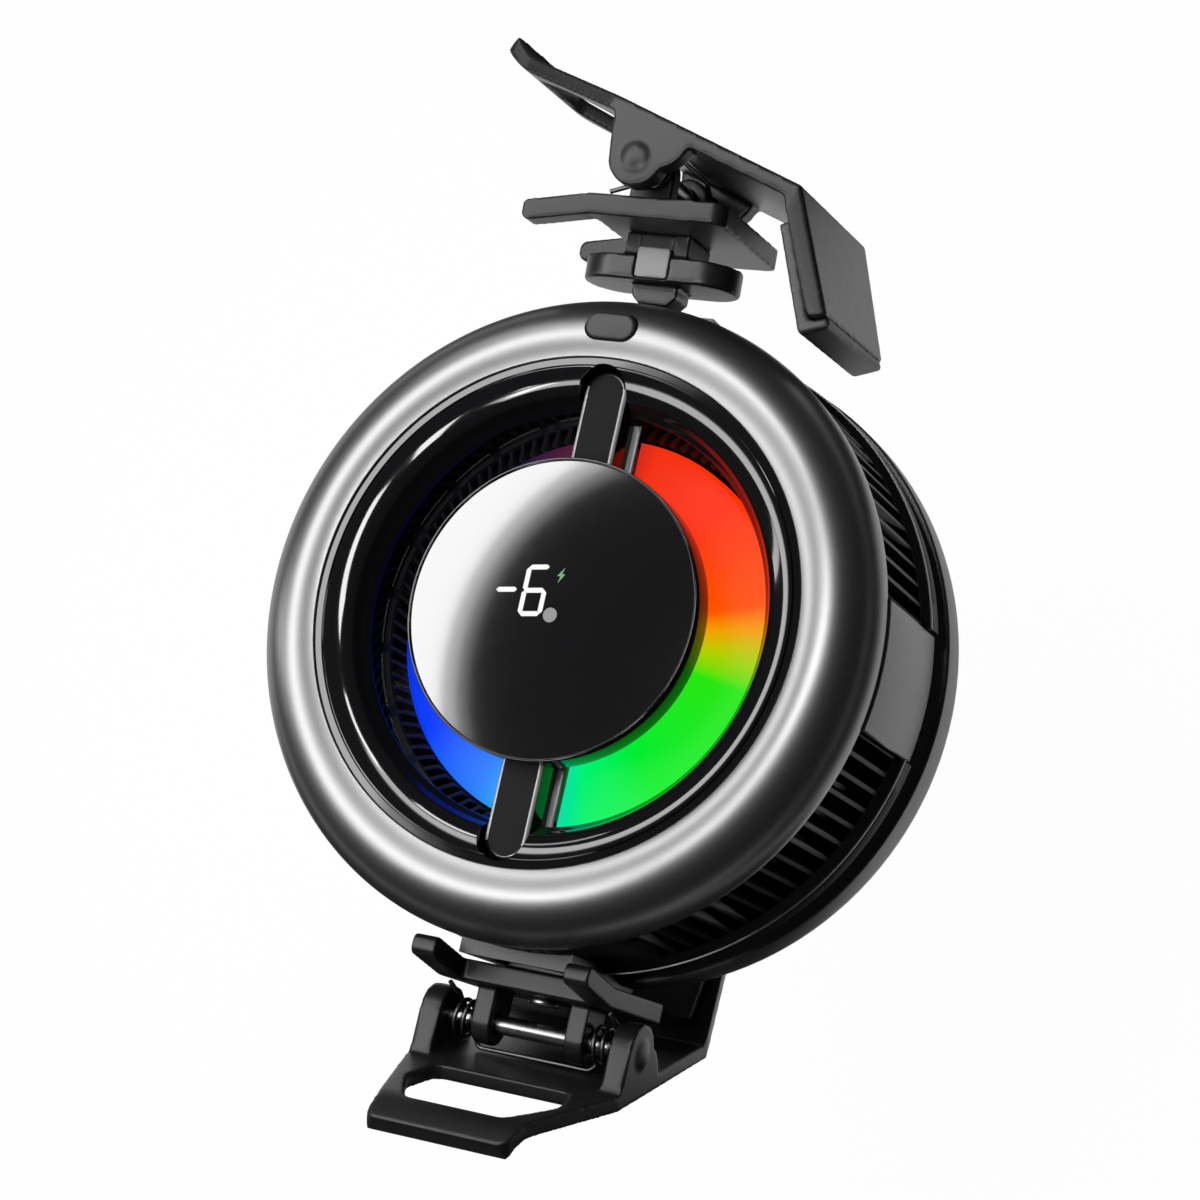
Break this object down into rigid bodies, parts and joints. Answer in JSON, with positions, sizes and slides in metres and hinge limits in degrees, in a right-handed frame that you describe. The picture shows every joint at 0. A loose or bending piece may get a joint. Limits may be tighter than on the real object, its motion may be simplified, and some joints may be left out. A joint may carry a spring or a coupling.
{
  "type": "phone cooling fan",
  "caption": "Round clip-on cooler for a phone: cold plate behind, lit blower inlet round a digital display in front, slotted side wall, and two sprung clips, one seated and one taken off.",
  "frame": {"origin": "centre of the cold plate's outer face", "axes": "+Z out of the display, +Y up to the power button at twelve o'clock, +X to the right"},
  "size_m": [0.0684, 0.1152, 0.0433],
  "materials": {
    "bezel_black": "satin gunmetal black with a fine moulded grain",
    "gloss_black": "polished black",
    "body_black": "satin black",
    "panel_grey": "smooth dark grey",
    "lens_black": "gloss black window",
    "light_guide": "milky light ring in rainbow colours",
    "fan_black": "matte black",
    "button_black": "satin black",
    "clip_black": "satin dark grey with soft edges",
    "catch_grey": "light grey",
    "rubber": "matte black",
    "steel": "bright",
    "aluminium": "fine turned",
    "sink_black": "black anodised",
    "board_green": "dark green board",
    "ceramic": "white ceramic",
    "magnet": "dull grey",
    "brass": "turned",
    "silicone": "soft matte black"
  },
  "bodies": {
    "root": {"front_bezel": "bezel_black", "inner_ring": "gloss_black", "display_bridge": "body_black", "display_lens": "lens_black", "display_board": "board_green", "light_guide": "light_guide", "led_board": "board_green", "vent_housing": "body_black", "side_panel_right": "panel_grey", "side_panel_left": "panel_grey", "usb_port": "steel", "main_board": "board_green", "button_switch": "steel", "rear_cover": "body_black", "cold_plate": "aluminium", "silicone_ring": "silicone", "peltier_module": "ceramic", "heat_sink": "sink_black", "fan_base": "body_black", "fan_stator": "steel", "fan_bearing": "brass", "rear_screws": "steel", "lower_socket": "body_black", "upper_socket": "body_black"},
    "button": {"power_button": "button_black"},
    "fan": {"fan_impeller": "fan_black", "fan_magnet": "magnet", "fan_shaft": "steel"},
    "lower_clip": {"lower_clip_base": "clip_black", "lower_clip_foot": "clip_black", "lower_clip_catch": "catch_grey", "lower_clip_screw": "steel", "lower_spring": "steel"},
    "lower_lever": {"lower_lever": "clip_black", "lower_jaw_pad": "rubber", "lower_pivot_pin": "steel"},
    "upper_clip": {"upper_clip_base": "clip_black", "upper_clip_foot": "clip_black", "upper_clip_catch": "catch_grey", "upper_clip_screw": "steel", "upper_spring": "steel"},
    "upper_lever": {"upper_lever": "clip_black", "upper_jaw_pad": "rubber", "upper_pivot_pin": "steel"}
  },
  "joints": [
    {"name": "fan_spin", "type": "hinge", "parent": "root", "child": "fan", "pos_m": [0, 0, 0.0125], "axis": [0, 0, 1], "continuous": true},
    {"name": "power_button_press", "type": "slide", "parent": "root", "child": "button", "axis": [0, 0, -1], "range_m": [0, 0.0004], "stiffness_N_per_m": 100, "springref_m": -0.002},
    {"name": "lower_clip_slide", "type": "slide", "parent": "root", "child": "lower_clip", "axis": [0, -1, 0], "range_m": [0, 0.012]},
    {"name": "upper_clip_slide", "type": "slide", "parent": "root", "child": "upper_clip", "axis": [0, 1, 0], "range_m": [0, 0.012]},
    {"name": "lower_lever_hinge", "type": "hinge", "parent": "lower_clip", "child": "lower_lever", "pos_m": [0, -0.0402, 0.0116], "axis": [-1, 0, 0], "range_deg": [0, 22], "stiffness_Nm_per_rad": 0.03, "springref_deg": -34.38},
    {"name": "upper_lever_hinge", "type": "hinge", "parent": "upper_clip", "child": "upper_lever", "pos_m": [-0.00191, 0.04827, 0.01932], "axis": [0.0487, -0.0931, 0.9945], "range_deg": [0, 22], "stiffness_Nm_per_rad": 0.03, "springref_deg": -34.38}
  ]
}
